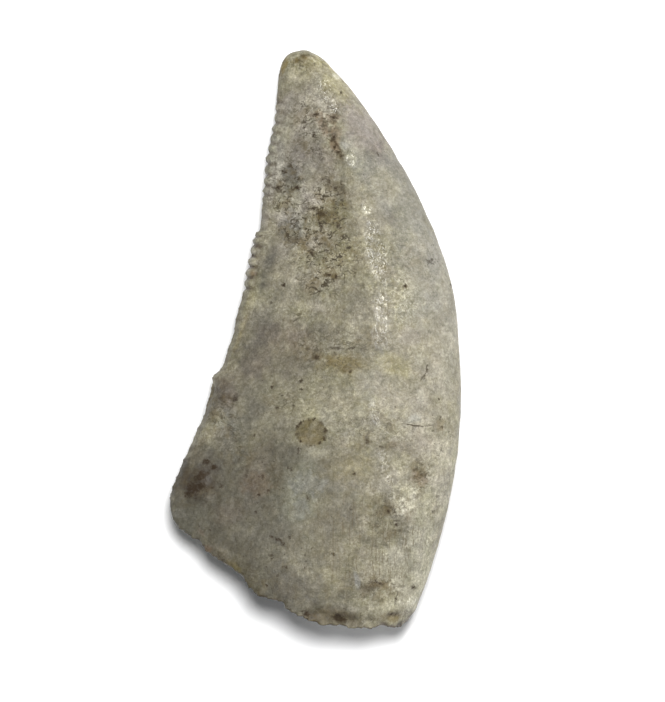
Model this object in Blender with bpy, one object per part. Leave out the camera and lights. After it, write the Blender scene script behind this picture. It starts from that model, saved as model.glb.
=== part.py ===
# The shed crown of a small meat-eating dinosaur's tooth, broken across its base and lying on its side.
# Its tip points to +Y, its smooth front edge is at +X and its serrated back edge at -X. The origin is
# under the middle of its outline, on the surface that it rests on.

import math

import bmesh
import bpy
from mathutils import Vector, noise
from mathutils.geometry import interpolate_bezier

MM = 0.001

# The crown's two edges seen from above, in mm, each from the broken base to the tip.
SERRATED_EDGE = [
    (-2.44, -2.63), (-2.42, -2.50), (-2.20, -1.95), (-1.91, -1.30), (-1.71, -0.68), (-1.62, -0.50),
    (-1.46, -0.12), (-1.26, 0.65), (-1.15, 1.30), (-1.05, 1.74), (-0.95, 1.86), (-0.91, 2.30), (-0.87, 2.90),
    (-0.79, 3.30), (-0.69, 3.85), (-0.63, 4.36), (-0.57, 4.63), (-0.45, 4.78), (-0.24, 4.84),
]
FRONT_EDGE = [
    (1.54, -4.68), (1.75, -4.33), (1.98, -3.66), (2.24, -2.66), (2.38, -1.80), (2.42, -1.00), (2.40, -0.20),
    (2.29, 0.85), (1.95, 1.88), (1.46, 2.87), (0.96, 3.67), (0.53, 4.26), (0.20, 4.62), (0.00, 4.77),
    (-0.24, 4.84),
]
# The broken base: how far its rim stands out past a straight line between the two corners, in mm,
# against the share of the way from the serrated corner to the front one.
BROKEN_RIM = [
    (0.0, 0.0), (0.035, 0.25), (0.086, 0.38), (0.145, 0.46), (0.168, 0.38), (0.20, 0.51), (0.31, 0.53),
    (0.37, 0.58), (0.41, 0.71), (0.44, 0.76), (0.51, 0.74), (0.54, 0.70), (0.59, 0.77), (0.71, 0.77),
    (0.79, 0.60), (0.85, 0.50), (0.89, 0.42), (0.91, 0.29), (0.965, 0.23), (0.99, 0.15), (1.0, 0.0),
]
# Half the thickness at the ridge, in mm, against the share of the way from the base to the tip.
HALF_THICKNESS = [
    (0.0, 1.10), (0.12, 1.16), (0.25, 1.15), (0.40, 1.07), (0.55, 0.93), (0.70, 0.76), (0.85, 0.56),
    (0.94, 0.42), (1.0, 0.32),
]

# The face that shows and the one it lies on. ridge is where the face is highest, as a share of the width
# from the serrated edge. back_power shapes the flank behind it: 1 is straight and 2 a full curve.
# front_power sets how gently the face turns over the ridge towards the front edge.
UPPER_FACE = {"ridge": 0.60, "back_power": 1.45, "front_power": 1.8, "height": 1.0}
HIDDEN_FACE = {"ridge": 0.48, "back_power": 1.9, "front_power": 2.0, "height": 0.95}
FRONT_ROUNDING = 0.52
EDGE_BLUNTNESS = 0.17  # share of the thickness that is reached close behind the serrated edge
EDGE_BLUNT_WIDTH = 0.03  # as a share of the way to the ridge
FLANK_HOLLOW = 0.14  # how much the flank dips behind the serrated edge
TIP_ROUNDING = 0.07  # share of the height over which the worn tip rounds off
TIP_DROP = 0.69  # how much lower the middle of the tip lies than that of the base, in mm
FLAT_SPOT_DEPTH = 0.06  # how much of the hidden face's bulge is flat where the crown rests, in mm

# Denticles: saw teeth fused to the serrated edge. DENTICLE_WEAR is 1 where they are as grown and 0
# where they are worn away, against mm along the edge from the base.
DENTICLE_PITCH = 0.178
FIRST_GAP = 0.155  # mm along the edge from the base
DENTICLE_DEPTH = 0.075
DENTICLE_REACH = 0.055  # how far in from the edge the gaps between them run, as a share of the width
DENTICLE_WAIST = 0.35  # how much thinner the edge is in a gap
GAP_SHARPNESS = 0.7
DENTICLE_WEAR = [
    (0.0, 0.35), (1.0, 0.40), (2.0, 0.35), (2.16, 0.6), (2.4, 0.25), (3.0, 0.25), (3.6, 0.35), (3.75, 1.0),
    (4.55, 1.0), (4.66, 0.15), (5.15, 0.15), (5.3, 0.7), (6.7, 0.7), (6.85, 0.2), (7.3, 0.0),
]

# Where the lines along the crown run, as shares of the width from the serrated edge to the front one.
LINES = [
    0.02, 0.038, 0.055, 0.086, 0.145, 0.168, 0.20, 0.26, 0.31, 0.37, 0.41, 0.44, 0.51, 0.54, 0.59, 0.65,
    0.71, 0.79, 0.85, 0.89, 0.91, 0.94, 0.965, 0.985,
]
DENTICLES_PER_RING = 2
CUTS_PER_DENTICLE = 4
TIP_RINGS = [0.960, 0.974, 0.987, 1.0]  # shares of the height, closer together for the round tip

# The break across the base, in mm.
BREAK_SPREAD = 0.33  # share of the height over which the rim's outline fades into the body
BREAK_CUTS = 7  # points between the upper rim and the hidden one
ARCH_REACH = 0.72  # how far the break's middle stands out, away from the upper rim
RIM_HOLD = 3  # how soon the upper rim's outline gives way to the arch, higher is sooner
UNDERCUT = 0.20  # how far the break leans in towards the hidden face
BREAK_HOLLOW = 0.22
BREAK_ROUGHNESS = 0.22
BREAK_GRAIN = 0.55

LUMP_HEIGHT = 0.022
LUMP_SIZE = 0.75

MERGE_DISTANCE = 1e-6
FOSSIL_COLOUR = (0.29, 0.265, 0.205, 1.0)
FOSSIL_ROUGHNESS = 0.55


def read_table(table, x):
    """The table's value at x, on a straight line from each entry to the next."""
    for (x0, y0), (x1, y1) in zip(table, table[1:]):
        if x <= x1:
            return y0 + (y1 - y0) * (x - x0) / (x1 - x0)
    return table[-1][1]


class SmoothLine:
    """A smooth line through its points, read by the share of its length."""

    STEPS = 16

    def __init__(self, points):
        knots = [Vector(point) for point in points]
        held = [knots[0], *knots, knots[-1]]
        self.points = []
        for before, start, end, after in zip(held, held[1:], held[2:], held[3:]):
            handle_out = start + (end - before) / 6
            handle_in = end - (after - start) / 6
            self.points += interpolate_bezier(start, handle_out, handle_in, end, self.STEPS)[:-1]
        self.points.append(knots[-1])
        self.run = [0.0]
        for a, b in zip(self.points, self.points[1:]):
            self.run.append(self.run[-1] + (b - a).length)
        self.length = self.run[-1]

    def at(self, share):
        goal = share * self.length
        for k, (start, end) in enumerate(zip(self.run, self.run[1:])):
            if goal <= end:
                return self.points[k].lerp(self.points[k + 1], (goal - start) / (end - start))
        return self.points[-1].copy()


BACK = SmoothLine(SERRATED_EDGE)
FRONT = SmoothLine(FRONT_EDGE)
BASE_LINE = FRONT.at(0) - BACK.at(0)
BASEWARD = Vector((BASE_LINE.y, -BASE_LINE.x)).normalized()


def section(across, face):
    """How high a face stands above the middle plane: 0 at both edges and 1 at its ridge."""
    ridge = face["ridge"]
    if across >= ridge:
        past = (across - ridge) / (1 - ridge)
        return max(0.0, 1 - past ** face["front_power"]) ** FRONT_ROUNDING
    x = across / ridge
    flank = (1 - (1 - x) ** face["back_power"]) * (1 - FLANK_HOLLOW * (1 - x) ** 2)
    blunt = EDGE_BLUNTNESS * (1 - math.exp(-x / EDGE_BLUNT_WIDTH)) * (1 - x) ** 2
    return (1 - blunt) * flank + blunt


def denticle_gap(up):
    """0 on a denticle's crown and up to 1 in the gap between two, less where they are worn."""
    along = up * BACK.length
    bulge = abs(math.sin(math.pi * (along - FIRST_GAP) / DENTICLE_PITCH)) ** GAP_SHARPNESS
    return (1 - bulge) * read_table(DENTICLE_WEAR, along)


def break_reach(across, side):
    """How far the break stands out past the straight line between its corners. The upper rim keeps its
    own outline, and away from it the break is a plain arch, rough and a little hollow."""
    thickness = section(across, UPPER_FACE)
    away = 1 - max(0.0, side) ** RIM_HOLD
    arch = ARCH_REACH * math.sqrt(math.sin(math.pi * across))
    spot = Vector((across * BASE_LINE.length, side, 0)) / BREAK_GRAIN
    rough = BREAK_ROUGHNESS * noise.noise(spot) * math.sqrt(thickness)
    lean = UNDERCUT * math.sqrt(thickness) * (1 - side) / 2
    hollow = BREAK_HOLLOW * thickness * (1 - side**2)
    return read_table(BROKEN_RIM, across) * (1 - away) + (arch + rough) * away - lean - hollow


def crown_point(across, up, side):
    """The place of a point, in mm. side is 1 on the upper face, -1 on the hidden one and between them
    inside the break."""
    face = UPPER_FACE if side > 0 else HIDDEN_FACE
    gap = denticle_gap(up) * max(0.0, 1 - across / DENTICLE_REACH)
    back, front = BACK.at(up), FRONT.at(up)
    place = back.lerp(front, across) + (front - back).normalized() * DENTICLE_DEPTH * gap

    reach = break_reach(across, side) * max(0.0, 1 - up / BREAK_SPREAD) ** 2
    place += BASEWARD * reach
    level = up - reach / FRONT.length

    into_tip = max(0.0, (up - 1 + TIP_ROUNDING) / TIP_ROUNDING)
    half = read_table(HALF_THICKNESS, level) * face["height"] * (1 - DENTICLE_WAIST * gap)
    lump = LUMP_HEIGHT * noise.noise(Vector((*place, side)) / LUMP_SIZE)
    rise = (half + lump) * section(across, face) * math.sqrt(1 - into_tip**2)
    return Vector((*place, side * rise - TIP_DROP * level))


def ring_heights():
    """The share of the height of each ring: the base's, one for every few gaps between denticles, and
    the tip's."""
    first = FIRST_GAP / BACK.length
    step = DENTICLES_PER_RING * DENTICLE_PITCH / BACK.length
    count = math.ceil((TIP_RINGS[0] - first - step / 2) / step)
    return [0.0] + [first + k * step for k in range(count)] + TIP_RINGS


def extrude_ring(bm, edges):
    """Extrude a ring of edges, and give its new corners and edges."""
    made = bmesh.ops.extrude_edge_only(bm, edges=edges)["geom"]
    corners = [item for item in made if isinstance(item, bmesh.types.BMVert)]
    fresh = set(corners)
    ring = [
        item for item in made
        if isinstance(item, bmesh.types.BMEdge) and fresh.issuperset(item.verts)
    ]
    return corners, ring


def edges_where(bm, test):
    """The edges whose two corners, the lower one in the crown first, pass the test."""
    return [edge for edge in bm.edges if test(*sorted((vert.co for vert in edge.verts), key=lambda co: co.y))]


def add_crown(bm):
    """Build the crown as a straight tube, closed at the base, whose x, y and z hold the shares across,
    up and side. Then each corner goes to its place."""
    upper = [bm.verts.new((across, 0, 1)) for across in LINES]
    hidden = [bm.verts.new((across, 0, -1)) for across in LINES]
    back, front = bm.verts.new((0, 0, 0)), bm.verts.new((1, 0, 0))
    over, under = [back, *upper, front], [back, *hidden, front]
    for k in range(len(over) - 1):
        bm.faces.new(dict.fromkeys((over[k], over[k + 1], under[k + 1], under[k])))
    rim = [edge for edge in bm.edges if edge.is_boundary]
    bmesh.ops.subdivide_edges(
        bm, edges=[edge for edge in bm.edges if not edge.is_boundary], cuts=BREAK_CUTS, use_grid_fill=True
    )

    ring = rim
    for up in ring_heights()[1:]:
        corners, ring = extrude_ring(bm, ring)
        for corner in corners:
            corner.co.y = up
    strip = edges_where(bm, lambda low, high: low.y < high.y <= TIP_RINGS[0] and low.x < DENTICLE_REACH)
    bmesh.ops.subdivide_edges(
        bm, edges=strip, cuts=DENTICLES_PER_RING * CUTS_PER_DENTICLE - 1, use_grid_fill=True
    )
    bmesh.ops.poke(bm, faces=[face for face in bm.faces if len(face.verts) > 4])

    for vert in bm.verts:
        vert.co = crown_point(*vert.co) * MM
    bmesh.ops.remove_doubles(bm, verts=bm.verts, dist=MERGE_DISTANCE)


def settle(bm):
    """Cut the flat spot, put it at height 0 and put the origin under the middle of the outline."""
    lowest = min(vert.co.z for vert in bm.verts) + FLAT_SPOT_DEPTH * MM
    everything = [*bm.verts, *bm.edges, *bm.faces]
    cut = bmesh.ops.bisect_plane(
        bm, geom=everything, dist=MERGE_DISTANCE, plane_co=(0, 0, lowest), plane_no=(0, 0, 1), clear_inner=True
    )["geom_cut"]
    outline = [item for item in cut if isinstance(item, bmesh.types.BMEdge)]
    bmesh.ops.contextual_create(bm, geom=outline)
    middle = [sum(f(vert.co[axis] for vert in bm.verts) for f in (min, max)) / 2 for axis in (0, 1)]
    bmesh.ops.translate(bm, verts=bm.verts, vec=(-middle[0], -middle[1], -lowest))


def fossil_material():
    material = bpy.data.materials.new("fossil_enamel")
    material.use_nodes = True
    shader = material.node_tree.nodes["Principled BSDF"]
    shader.inputs["Base Color"].default_value = FOSSIL_COLOUR
    shader.inputs["Roughness"].default_value = FOSSIL_ROUGHNESS
    return material


def main():
    for old in list(bpy.data.objects):
        bpy.data.objects.remove(old)

    bm = bmesh.new()
    add_crown(bm)
    settle(bm)
    bmesh.ops.recalc_face_normals(bm, faces=bm.faces)

    mesh = bpy.data.meshes.new("tooth_crown")
    bm.to_mesh(mesh)
    bm.free()
    mesh.materials.append(fossil_material())
    mesh.shade_smooth()
    mesh.set_sharp_from_angle(angle=math.radians(40))
    bpy.context.scene.collection.objects.link(bpy.data.objects.new("tooth_crown", mesh))


main()
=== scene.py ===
import math
import bpy
import numpy as np
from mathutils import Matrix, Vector, noise
from mathutils.geometry import interpolate_bezier


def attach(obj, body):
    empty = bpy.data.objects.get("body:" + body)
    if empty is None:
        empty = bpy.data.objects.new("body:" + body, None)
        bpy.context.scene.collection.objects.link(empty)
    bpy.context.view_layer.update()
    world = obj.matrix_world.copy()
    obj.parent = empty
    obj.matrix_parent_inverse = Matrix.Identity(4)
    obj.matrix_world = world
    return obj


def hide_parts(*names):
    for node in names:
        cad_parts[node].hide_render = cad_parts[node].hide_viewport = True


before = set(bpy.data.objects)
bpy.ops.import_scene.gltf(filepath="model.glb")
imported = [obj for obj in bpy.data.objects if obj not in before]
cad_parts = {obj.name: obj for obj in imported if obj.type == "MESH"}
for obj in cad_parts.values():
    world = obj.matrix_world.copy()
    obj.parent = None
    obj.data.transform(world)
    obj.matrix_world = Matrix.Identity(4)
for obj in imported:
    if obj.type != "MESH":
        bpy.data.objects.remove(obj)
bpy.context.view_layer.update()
mm = 0.001
print("frame loaded")

# photo frame, for places read off the photograph; the origin is the pixel over the frame's own origin
photo = {"width": 665, "height": 702, "pixelsPerMm": 60.0, "originX": 315.15, "originY": 339.25}


def fromPhoto(x, y, z=0.0):
    scale = photo["pixelsPerMm"]
    return Vector(((x - photo["originX"]) / scale, (photo["originY"] - y) / scale, z))


def onlySelect(thing):
    bpy.ops.object.select_all(action="DESELECT")
    thing.select_set(True)
    bpy.context.view_layer.objects.active = thing


# camera, lights and table
camera = {
    "lens": 600.0,
    "outlineHeight": 1.0,  # mm above the table where the outline is widest, so where the scale holds
    "clip": (0.001, 10),  # m
}

# distances and sizes in mm, power in W
lights = {
    "key": {"from": (0.020, 0.101, 0.99), "distance": 60.0, "size": 12.8, "power": 0.0476},
    "side": {"from": (0.80, 0.52, 0.16), "distance": 60.0, "size": 26.0, "power": 0.033},
    "glint": {"from": (0.25, 0.49, 1.0), "distance": 60.0, "size": 3.5, "power": 0.0080},
}
room = {"brightness": 0.18, "colour": (0.93, 0.96, 1.0, 1.0)}

tabletop = {"size": 2.0, "whiteness": 0.94, "roughness": 0.9}  # size in m


def addCamera():
    bpy.ops.object.camera_add()
    shot = bpy.context.object
    shot.name = "aboveCamera"
    lens = shot.data
    lens.lens = camera["lens"]
    lens.sensor_fit = "AUTO"
    lens.clip_start, lens.clip_end = camera["clip"]
    fieldHeight = photo["height"] / photo["pixelsPerMm"]
    distance = camera["lens"] / lens.sensor_width * fieldHeight + camera["outlineHeight"]
    middle = fromPhoto(photo["width"] / 2, photo["height"] / 2, distance)
    shot.location = middle * mm
    bpy.context.scene.camera = shot


def addAreaLight(name, values):
    bpy.ops.object.light_add(type="AREA")
    lamp = bpy.context.object
    lamp.name = name
    lamp.data.shape = "DISK"
    lamp.data.size = values["size"] * mm
    lamp.data.energy = values["power"]
    away = Vector(values["from"]).normalized()
    lamp.location = away * values["distance"] * mm
    lamp.rotation_euler = away.to_track_quat("Z", "Y").to_euler()


def addLights():
    for name, values in lights.items():
        addAreaLight(name + "Light", values)
    world = bpy.data.worlds.new("softRoom")
    world.use_nodes = True
    sky = world.node_tree.nodes["Background"]
    sky.inputs["Strength"].default_value = room["brightness"]
    sky.inputs["Color"].default_value = room["colour"]
    bpy.context.scene.world = world
    bpy.context.scene.view_settings.view_transform = "Standard"


def addTable():
    bpy.ops.mesh.primitive_plane_add(size=tabletop["size"])
    table = bpy.context.object
    table.name = "table"
    paint = bpy.data.materials.new("tablePaint")
    paint.use_nodes = True
    shader = paint.node_tree.nodes["Principled BSDF"]
    shader.inputs["Base Color"].default_value = (*[tabletop["whiteness"]] * 3, 1)
    shader.inputs["Roughness"].default_value = tabletop["roughness"]
    table.data.materials.append(paint)


# the crown's shape, all in mm until the end
# inward is the distance from the serrated edge, and along is the run up that edge from the base
# a pair of values is a fade: 0 at the first value and 1 at the second
crown = {
    "weld": 0.001,
    "grid": 0.055,  # between points, and half of it on the face that shows
    "heightPasses": 34,  # smoothing of heights alone, which keeps the outline
    "roundPasses": 2,
    "leastRound": 0.1,  # share of that smoothing that the break and the serrated edge still get
    "frontPasses": 40,  # smoothing along the front edge
    "frontLoss": 0.018,  # what that smoothing takes off, and is given back
    "settlePasses": 2,
    "breakTurn": (0.35, 0.75),  # turned towards the base
    "breakStart": (-2.2, -2.6),  # y
    "breakCalm": 0.7,  # how much less of the body's relief the break has
    "flatInward": (0.12, 0.30),
    "flatTurn": (0.15, 0.5),  # turned up or down
    "roundInward": (0.0, 0.25),
    "frontShare": (0.78, 0.93),  # of the way across to the front edge
    "frontTop": (4.6, 4.0),  # y
    "leastWidth": 0.2,
    "farInward": 9.0,  # stands for inward where the serrated edge has ended
    "finerTurn": 0.25,  # faces turned up by more than this get the finer grid
    "finerInward": 0.2,  # and so do all that are closer than this
    "bumpTurn": (-0.1, 0.2),  # turned up
    "bumpFade": 1.2,
    "bumpWobble": 0.25,
    "bumpGrain": 0.12,
}

# relief from cloud noise: size, height, where
relief = {
    "swells": (0.60, 0.022, "body"),
    "lumps": (0.24, 0.016, "body"),
    "dimples": (0.10, 0.007, "body"),
    "crust": (0.13, 0.022, "crust"),
    "crumbs": (0.28, 0.085, "break"),
    "grit": (0.09, 0.035, "break"),
}

# the crusty part: round the lower corner of the serrated edge, and a strip up that edge
crust = {
    "corner": (-2.1, -2.2), "cornerSquash": 0.8, "cornerReach": (0.8, 2.2),
    "strip": 0.7, "stripInward": (0.1, 0.5), "stripTop": (1.2, -0.6),
}

# bumps and hollows: x, y, half length and half width in photo pixels, turn in degrees, height
bumps = [
    (217, 377, 9, 7, -60, 0.055), (226, 391, 9, 7, 70, 0.035), (209, 390, 14, 9, -72, -0.05),
    (231, 402, 6, 4, 60, -0.03), (199, 478, 8, 6, 30, 0.045), (186, 497, 7, 6, 0, -0.04),
    (205, 497, 6, 5, 0, 0.03), (318, 613, 9, 5, 10, -0.055), (341, 618, 9, 5, 20, -0.07),
    (372, 619, 8, 4, 0, -0.02), (392, 616, 7, 4, 0, -0.03), (356, 611, 7, 5, 0, 0.035),
    (405, 606, 12, 8, 10, 0.03), (414, 422, 10, 6, 0, 0.018), (420, 477, 9, 9, 0, -0.02),
    (365, 588, 9, 7, 0, -0.022), (290, 178, 12, 9, 90, -0.02), (338, 192, 10, 6, 20, -0.02),
    (345, 146, 12, 6, -60, -0.02), (260, 590, 12, 5, 35, 0.03), (220, 549, 14, 5, 35, 0.03),
    (204, 556, 4, 4, 0, -0.07), (388, 510, 6, 8, 0, -0.022),
]

denticles = {
    "pitch": 0.178,
    "firstGap": 0.155,  # along
    "gapWidth": 0.6,
    "edgeBand": (0.03, 0.16),  # inward, for what moves the outline
    "grooveDepth": 0.045,
    "grooveInward": (0.12, 0.23),
    # height, middle and width, both inward
    "foot": (0.014, 0.20, 0.035),  # the shallow furrow along the feet of the denticles
    "bead": (0.032, 0.12, 0.06),  # the bulge of each denticle
    # amount, length over which it changes, shift of its noise
    "drift": (0.035, 0.45, 3.0),  # how far the denticles wander along the edge
    "unevenness": (0.030, 0.16, 8.0),  # how much deeper or shallower one gap is than the next
    "wornSteps": (0.018, 0.4, 5.0),
    "extraDepth": 0.012,
    "wornBelow": (3.72, 3.52),  # along, where the denticles are worn level
    "wornFill": 0.070,
    "wornCalm": 0.75,
}

# dirt and painted shade: a dark crescent in each gap between the denticles and a dark line along their feet
gapDirtAndShade = {
    "drop": 0.008, "lean": 0.15,  # how far a crescent sits from the middle of its gap, and that by inward
    "gapWidth": 1.3, "gain": 1.7, "cut": 0.5,
    "feet": (0.3, 0.20, 0.03),  # strength, middle and width inward
    "wearPower": 0.6,
    # dirt and painted shade that worn denticles keep: along, where it starts, is full, wanes and ends, and
    # its strength
    "kept": [(5.15, 5.35, 6.8, 7.2, 0.75), (2.2, 2.4, 3.5, 3.7, 0.4)],
}

# the two edges seen from above, from the base to the tip
serratedEdge = [
    (-2.44, -2.63), (-2.42, -2.5), (-2.2, -1.95), (-1.91, -1.3), (-1.71, -0.68), (-1.62, -0.5),
    (-1.46, -0.12), (-1.26, 0.65), (-1.15, 1.3), (-1.05, 1.74), (-0.95, 1.86), (-0.91, 2.3), (-0.87, 2.9),
    (-0.79, 3.3), (-0.69, 3.85), (-0.63, 4.36), (-0.57, 4.63), (-0.45, 4.78), (-0.24, 4.84),
]
frontEdge = [
    (1.54, -4.68), (1.75, -4.33), (1.98, -3.66), (2.24, -2.66), (2.38, -1.8), (2.42, -1), (2.4, -0.2),
    (2.29, 0.85), (1.95, 1.88), (1.46, 2.87), (0.96, 3.67), (0.53, 4.26), (0.2, 4.62), (0, 4.77),
    (-0.24, 4.84),
]
# how plain the denticles are, against along: 1 as grown, 0 worn away
denticleWear = [
    (0, 0.35), (1, 0.4), (2, 0.35), (2.16, 0.6), (2.4, 0.25), (3, 0.25), (3.6, 0.35), (3.75, 1), (4.55, 1),
    (4.66, 0.12), (5.15, 0.15), (5.3, 0.5), (6, 0.42), (6.7, 0.35), (6.85, 0.15), (7.3, 0),
]


def smoothLine(points, steps=16):
    knots = [Vector(point) for point in points]
    held = [knots[0], *knots, knots[-1]]
    line = []
    for before, start, end, after in zip(held, held[1:], held[2:], held[3:]):
        leaving, arriving = start + (end - before) / 6, end - (after - start) / 6
        line += interpolate_bezier(start, leaving, arriving, end, steps)[:-1]
    line.append(knots[-1])
    line = np.array([point[:] for point in line])
    run = np.concatenate([[0.0], np.cumsum(np.hypot(*np.diff(line, axis=0).T))])
    return line, run


def readPoints(mesh, kind):
    values = np.empty(len(mesh.vertices) * 3, dtype=np.float32)
    mesh.vertices.foreach_get(kind, values)
    return values.reshape(-1, 3).astype(float)


def readShape(piece):
    return [readPoints(piece.data, kind) for kind in ("co", "normal")]


def writePoints(mesh, points):
    mesh.vertices.foreach_set("co", points.astype(np.float32).ravel())
    mesh.update()


def saveField(mesh, name, values):
    mesh.attributes.new(name, "FLOAT", "POINT").data.foreach_set("value", values.astype(np.float32))


def ease(low, high, value):
    share = np.clip((value - low) / (high - low), 0, 1)
    return share * share * (3 - 2 * share)


def bell(value, middle, width):
    return np.exp(-((value - middle) / width) ** 2)


def noiseField(points, size, shift=0.0):
    offset = Vector((shift, shift * 1.7, -shift))
    return np.array([noise.noise(Vector(point) / size + offset) for point in points])


def spotReach(points, x, y, long, wide, turn, wobble):
    # how far each point is from a spot's middle: 1 at its outline
    centre = fromPhoto(x, y)
    angle = math.radians(-turn)
    away = points[:, :2] - np.array(centre[:2])
    along = (away[:, 0] * math.cos(angle) + away[:, 1] * math.sin(angle)) * photo["pixelsPerMm"] / long
    across = (away[:, 1] * math.cos(angle) - away[:, 0] * math.sin(angle)) * photo["pixelsPerMm"] / wide
    return np.hypot(along, across) + wobble


def addGroups(piece, groups, stages=20):
    for name, weights in groups.items():
        group = piece.vertex_groups.new(name=name)
        steps = np.round(weights * stages).astype(int)
        for step in range(1, stages + 1):
            group.add(np.flatnonzero(steps == step).tolist(), step / stages, "REPLACE")


def applyModifier(piece, name, kind, **settings):
    modifier = piece.modifiers.new(name, kind)
    for key, value in settings.items():
        setattr(modifier, key, value)
    bpy.ops.object.modifier_apply(modifier=modifier.name)


def smooth(piece, name, passes, **settings):
    applyModifier(piece, name, "SMOOTH", iterations=passes, factor=0.5, **settings)


def edgePlaces(points):
    # along and inward of each point
    line, run = smoothLine(serratedEdge)
    along = np.interp(points[:, 1], line[:, 1], run)
    lean = np.cos(np.arctan(np.interp(points[:, 1], line[1:, 1], np.diff(line[:, 0]) / np.diff(line[:, 1]))))
    inward = (points[:, 0] - np.interp(points[:, 1], line[:, 1], line[:, 0])) * lean
    above = points[:, 1] > serratedEdge[0][1]
    return along, np.where(above, inward, crown["farInward"])


def shareAcross(points):
    back, _ = smoothLine(serratedEdge)
    front, _ = smoothLine(frontEdge)
    left = np.interp(points[:, 1], back[:, 1], back[:, 0])
    right = np.interp(points[:, 1], front[:, 1], front[:, 0])
    return (points[:, 0] - left) / np.maximum(right - left, crown["leastWidth"])


def breakShare(points, normals):
    # 1 on the broken base, 0 on the rest
    return ease(*crown["breakTurn"], -normals[:, 1]) * ease(*crown["breakStart"], points[:, 1])


def startCrown():
    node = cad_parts["tooth_crown"]
    piece = bpy.data.objects.new("weathered_crown", node.data.copy())
    bpy.context.scene.collection.objects.link(piece)
    onlySelect(piece)
    piece.scale = (1 / mm, 1 / mm, 1 / mm)
    bpy.ops.object.transform_apply(location=False, rotation=False, scale=True)
    bpy.ops.object.mode_set(mode="EDIT")
    bpy.ops.mesh.select_all(action="SELECT")
    bpy.ops.mesh.remove_doubles(threshold=crown["weld"])
    bpy.ops.object.mode_set(mode="OBJECT")
    applyModifier(piece, "evenGrid", "REMESH", mode="VOXEL", voxel_size=crown["grid"])
    print("even grid:", len(piece.data.polygons))
    return piece


def smoothCrown(piece):
    points, normals = readShape(piece)
    inward = edgePlaces(points)[1]
    whole = 1 - breakShare(points, normals)
    least = crown["leastRound"]
    front = ease(*crown["frontShare"], shareAcross(points)) * ease(*crown["frontTop"], points[:, 1])
    addGroups(piece, {
        "flat": ease(*crown["flatInward"], inward) * whole * ease(*crown["flatTurn"], np.abs(normals[:, 2])),
        "round": ease(*crown["roundInward"], inward) * whole * (1 - least) + least,
        "front": front * whole,
    })
    smooth(piece, "levelFacets", crown["heightPasses"], use_x=False, use_y=False, vertex_group="flat")
    smooth(piece, "roundFacets", crown["roundPasses"], vertex_group="round")
    smooth(piece, "roundFront", crown["frontPasses"], vertex_group="front")
    applyModifier(piece, "fillFront", "DISPLACE", strength=crown["frontLoss"], mid_level=0.0,
                  vertex_group="front")
    print("facets smoothed")


def refineCrown(piece):
    # finer grid on the face that shows and at the serrated edge
    mesh = piece.data
    bpy.ops.object.mode_set(mode="EDIT")
    bpy.ops.mesh.select_mode(type="FACE")
    bpy.ops.mesh.select_all(action="DESELECT")
    bpy.ops.object.mode_set(mode="OBJECT")
    turns = np.array([face.normal.z for face in mesh.polygons])
    middles = np.array([face.center[:] for face in mesh.polygons])
    chosen = (turns > crown["finerTurn"]) | (edgePlaces(middles)[1] < crown["finerInward"])
    mesh.polygons.foreach_set("select", chosen)
    bpy.ops.object.mode_set(mode="EDIT")
    bpy.ops.mesh.subdivide(number_cuts=1)
    bpy.ops.object.mode_set(mode="OBJECT")
    smooth(piece, "settleGrid", crown["settlePasses"])
    print("finer face:", len(mesh.polygons))


def crustShare(points, inward):
    x, y = crust["corner"]
    away = np.hypot(points[:, 0] - x, (points[:, 1] - y) * crust["cornerSquash"])
    strip = (1 - ease(*crust["stripInward"], inward)) * ease(*crust["stripTop"], points[:, 1])
    return np.clip(1 - ease(*crust["cornerReach"], away) + crust["strip"] * strip, 0, 1)


def roughenCrown(piece):
    points, normals = readShape(piece)
    broken = breakShare(points, normals)
    addGroups(piece, {
        "body": 1 - crown["breakCalm"] * broken,
        "break": broken,
        "crust": crustShare(points, edgePlaces(points)[1]) * (1 - broken),
    })
    for name, (size, height, where) in relief.items():
        texture = bpy.data.textures.new(name, "CLOUDS")
        texture.noise_scale = size
        texture.noise_depth = 2
        applyModifier(piece, name, "DISPLACE", texture=texture, texture_coords="LOCAL", direction="NORMAL",
                      strength=height, mid_level=0.5, vertex_group=where)
    print("relief done")


def dentCrown(piece):
    points, normals = readShape(piece)
    facing = ease(*crown["bumpTurn"], normals[:, 2])
    for x, y, long, wide, turn, height in bumps:
        wobble = crown["bumpWobble"] * noiseField(points, crown["bumpGrain"], x)
        reach = spotReach(points, x, y, long, wide, turn, wobble)
        points += normals * (np.exp(-crown["bumpFade"] * reach**2) * height * facing)[:, None]
    writePoints(piece.data, points)
    print("bumps done")


def gapShare(along, width):
    # 1 in the middle of a gap, 0 on the top of a denticle
    phase = math.pi * (along - denticles["firstGap"]) / denticles["pitch"]
    return 1 - np.abs(np.sin(phase)) ** width


# dark crescents in the gaps and a line along the feet: dirt together with painted shade in these hollows
def grimeAndShadeShare(along, inward, wear, reach):
    middle = along - (gapDirtAndShade["drop"] - gapDirtAndShade["lean"] * inward)
    crescent = np.clip(gapDirtAndShade["gain"] * gapShare(middle, gapDirtAndShade["gapWidth"]) - gapDirtAndShade["cut"], 0, 1)
    strength, *feet = gapDirtAndShade["feet"]
    shown = wear ** gapDirtAndShade["wearPower"]
    for start, full, waning, end, amount in gapDirtAndShade["kept"]:
        shown = np.maximum(shown, amount * ease(start, full, along) * ease(end, waning, along))
    return np.clip((crescent * reach + strength * bell(inward, *feet)) * shown, 0, 1)


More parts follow.
